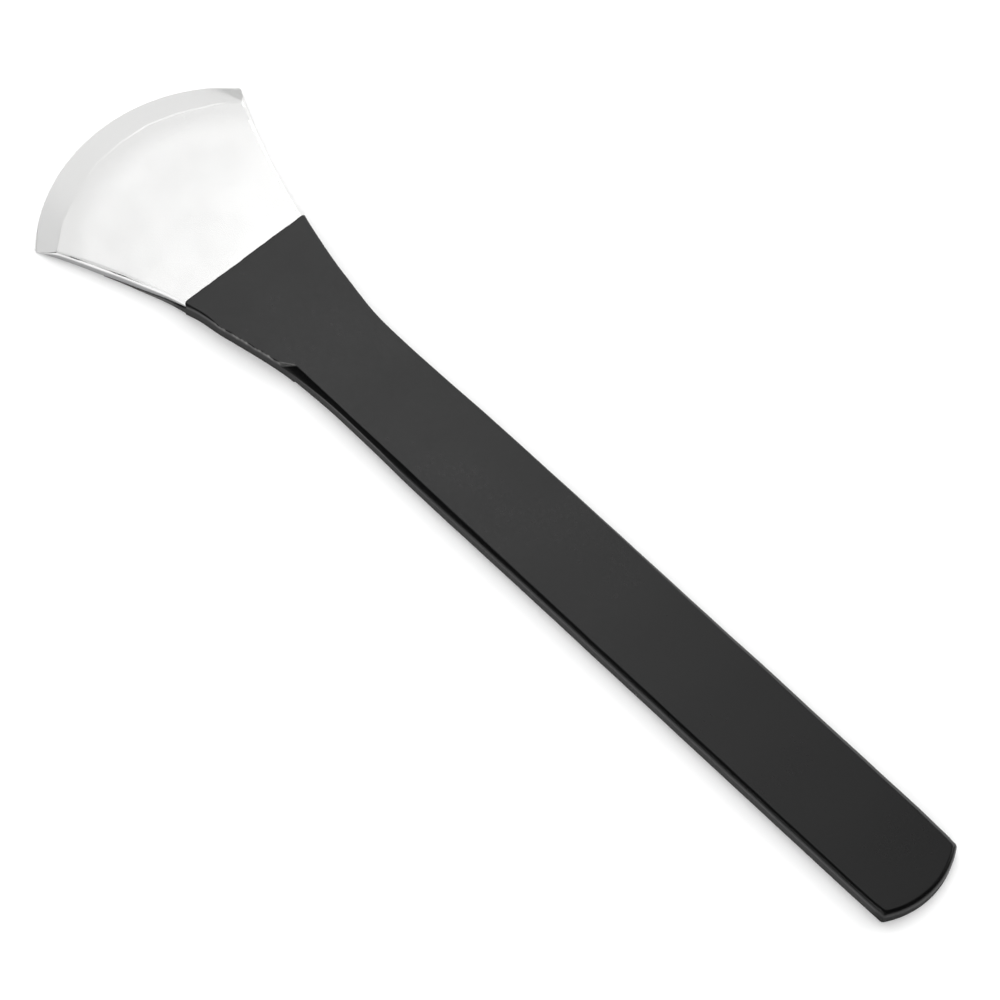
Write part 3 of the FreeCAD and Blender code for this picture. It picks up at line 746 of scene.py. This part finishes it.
def steel_material():
    """Bright ground steel, with painted shade towards the edge, a painted highlight along the
    bevel's ridge, painted shade on the walls, and darker towards the bevel's left tip.
    """
    m = Nodes("ground_steel")
    m.shader.inputs["Metallic"].default_value = 1.0
    grain = m.noise(900.0, 2.0, 0.6)
    cloud = m.noise(95.0, 3.0)
    tone = m.mix(m.ramp(cloud, 0.3, 0.7), (0.8, 0.8, 0.795, 1), (0.85, 0.85, 0.845, 1))
    centre = (-EDGE_CENTRE * MM, 0.0, 0.0)
    spoke = m.add("ShaderNodeVectorMath", {0: m.place, 1: centre}, operation="ADD").outputs[0]
    radius = m.add("ShaderNodeVectorMath", {0: spoke}, operation="LENGTH").outputs["Value"]
    radius = m.math("ADD", radius, m.ramp(cloud, 0.3, 0.7, -0.001, 0.001))
    # painted shade: the steel darkens with distance from the edge's centre, towards the cutting
    # edge
    painted_edge_shade = m.ramp(radius, 0.023, 0.0285, 0.0, 0.85, "SMOOTHSTEP")
    tone = m.mix(painted_edge_shade, tone, (0.72, 0.72, 0.715, 1))
    # painted highlight where the stored value is above 0
    tone = m.mix(m.marks_and_painted_light(0.0, 1.0), tone, (0.97, 0.97, 0.96, 1))
    # painted shade on the walls, and darker towards the bevel's left tip, where the stored value is
    # below 0
    m.link(m.mix(m.marks_and_painted_light(0.0, -1.0), tone, (0.42, 0.42, 0.425, 1)), "Base Color")
    uneven = m.ramp(cloud, 0.3, 0.7, -0.015, 0.015)
    m.link(m.math("ADD", m.ramp(grain, 0.3, 0.7, 0.23, 0.26), uneven), "Roughness")
    m.bump(grain, 0.03)
    return m.material


def coating_material():
    """Black enamel, semi-matt and a little uneven, paler where it is rubbed or thin, with painted
    highlights on the flare's edge and the chamfer stop's lip.
    """
    m = Nodes("black_enamel")
    grain = m.noise(1400.0, 2.0, 0.6)
    cloud = m.noise(60.0, 3.0)
    black, softer = (0.0009, 0.0009, 0.001, 1), (0.0018, 0.0018, 0.0019, 1)
    tone = m.mix(m.ramp(cloud, 0.3, 0.7), black, softer)
    cells = m.add("ShaderNodeTexVoronoi", {"Vector": m.place, "Scale": 170.0})
    near = m.ramp(cells.outputs["Distance"], 0.02, 0.05, 1.0, 0.0)
    chosen = m.add("ShaderNodeSeparateColor", {0: cells.outputs["Color"]}).outputs[0]
    specks = m.math("MULTIPLY", near, m.ramp(chosen, 0.8, 0.85, 0.0, 0.5))
    # paler where the stored value is above 0: wear, thin places and painted highlights
    pale_marks_and_highlight = m.math("MULTIPLY", m.marks_and_painted_light(0.0, 1.0), m.ramp(m.noise(2500.0), 0.3, 0.7, 0.5, 1.0))
    pale = m.math("MAXIMUM", specks, pale_marks_and_highlight)
    m.link(m.mix(pale, tone, (0.3, 0.3, 0.29, 1)), "Base Color")
    # the walls are rougher than the upper face, and roughest at the tail
    place = m.add("ShaderNodeSeparateXYZ", {"Vector": m.place}).outputs
    wall = m.ramp(place["Z"], 0.0021, 0.0028, 0.3, 0.0)
    tail = m.ramp(place["X"], -0.0965, -0.0945, 1.8, 1.0)
    gloss = m.ramp(m.math("ADD", grain, cloud), 0.7, 1.3, 0.27, 0.32)
    m.link(m.math("ADD", gloss, m.math("MULTIPLY", wall, tail)), "Roughness")
    m.shader.inputs["Specular IOR Level"].default_value = 0.45
    m.bump(grain, 0.045)
    return m.material


def floor_material():
    """Pale studio floor."""
    m = Nodes("pale_floor")
    tone = m.noise(40.0, 2.0)
    m.link(m.mix(tone, (0.915, 0.915, 0.915, 1), (0.925, 0.925, 0.925, 1)), "Base Color")
    m.shader.inputs["Roughness"].default_value = 0.9
    m.shader.inputs["Specular IOR Level"].default_value = 0.1
    return m.material


steel.data.materials.append(steel_material())
coating.data.materials.append(coating_material())
for piece, node, slot in (
    (steel, "steel_blade_and_tang", "bright_steel"),
    (coating, "handle_coating", "black_coating"),
):
    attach(piece, "root")
    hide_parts(node)


# ---------------------------------------------------------------- stage
FLOOR_GAP = 0.02
# what the floor and the backdrop see all round, and what reflections see up to and above a height
WORLD_LEVEL = 0.48
HORIZON_LOW, HORIZON_HIGH, HORIZON_PALE, ROOM_DARK = 0.06, 0.17, 0.5, 0.014


def add_floor():
    """A wide pale floor just under the knife."""
    bm = bmesh.new()
    bmesh.ops.create_grid(bm, x_segments=8, y_segments=8, size=3.0)
    mesh = bpy.data.meshes.new("floor")
    bm.to_mesh(mesh)
    bm.free()
    obj = bpy.data.objects.new("floor", mesh)
    obj.location.z = (COAT_BASE - FLOOR_GAP) * MM
    bpy.context.scene.collection.objects.link(obj)
    mesh.materials.append(floor_material())


def direction(azimuth, elevation):
    """Unit vector towards an azimuth from +X and an elevation above the floor, in degrees."""
    azimuth, elevation = math.radians(azimuth), math.radians(elevation)
    flat = math.cos(elevation)
    return flat * math.cos(azimuth), flat * math.sin(azimuth), math.sin(elevation)


def add_softbox(name, towards, distance, size, radiance, glossy=True):
    """An area light of a given brightness, a distance away from the origin and facing it."""
    light = bpy.data.lights.new(name, "AREA")
    light.shape = "RECTANGLE"
    light.size, light.size_y = size
    light.energy = radiance * math.pi * size[0] * size[1]
    obj = bpy.data.objects.new(name, light)
    obj.location = Vector(towards).normalized() * distance
    obj.rotation_euler = Vector(towards).to_track_quat("Z", "Y").to_euler()
    obj.visible_glossy = glossy
    bpy.context.scene.collection.objects.link(obj)


add_floor()
add_softbox("overhead_softbox", (0.53, -0.45, 1.4), 1.55, (0.85, 1.2), 0.95)
add_softbox("overhead_glow", (0.54, -0.53, 1.38), 1.53, (0.18, 0.4), 2.0)
add_softbox("front_panel", direction(-17, 27), 1.4, (2.2, 0.86), 1.04)
add_softbox("front_filler", direction(1, 52), 1.5, (0.6, 0.3), 0.95)
add_softbox("back_panel", direction(-92, 27), 1.4, (1.6, 1.0), 2.4)
add_softbox("side_card", direction(99, 27), 1.2, (0.5, 0.15), 4.0)
add_softbox("floor_fill", (0.25, -0.25, 1.0), 2.2, (2.6, 2.6), 0.6, glossy=False)
add_softbox("left_fill", direction(120, 38), 1.8, (2.4, 1.4), 1.6, glossy=False)


def studio_world():
    """Even all round for the floor and backdrop; reflections see a pale horizon, dark above."""
    world = bpy.data.worlds.new("studio")
    world.use_nodes = True
    nodes, links = world.node_tree.nodes, world.node_tree.links
    place = nodes.new("ShaderNodeTexCoord")
    parts = nodes.new("ShaderNodeSeparateXYZ")
    links.new(place.outputs["Generated"], parts.inputs[0])
    horizon = nodes.new("ShaderNodeMapRange")
    links.new(parts.outputs["Z"], horizon.inputs[0])
    for socket, value in enumerate((HORIZON_LOW, HORIZON_HIGH, HORIZON_PALE, ROOM_DARK), 1):
        horizon.inputs[socket].default_value = value
    rays = nodes.new("ShaderNodeLightPath")
    level = nodes.new("ShaderNodeMix")
    links.new(rays.outputs["Is Glossy Ray"], level.inputs[0])
    level.inputs[2].default_value = WORLD_LEVEL
    links.new(horizon.outputs[0], level.inputs[3])
    links.new(level.outputs[0], nodes["Background"].inputs["Color"])
    return world


bpy.context.scene.world = studio_world()
bpy.context.scene.view_settings.view_transform = "Standard"

# the camera was fitted to the outline in the photograph
CAMERA_PLACE = (-0.1734, 0.21332, 0.55988)
CAMERA_RIGHT = Vector((-0.706962, -0.705411, 0.050992))
CAMERA_UP = Vector((0.650777, -0.620587, 0.437449))
CAMERA_LENS = 132.09

camera_data = bpy.data.cameras.new("camera")
camera_data.lens = CAMERA_LENS
camera_data.sensor_width = 36.0
camera_data.clip_end = 20.0
camera = bpy.data.objects.new("camera", camera_data)
axes = Matrix((CAMERA_RIGHT, CAMERA_UP, CAMERA_RIGHT.cross(CAMERA_UP))).transposed()
camera.matrix_world = Matrix.Translation(CAMERA_PLACE) @ axes.to_4x4()
bpy.context.scene.collection.objects.link(camera)
bpy.context.scene.camera = camera
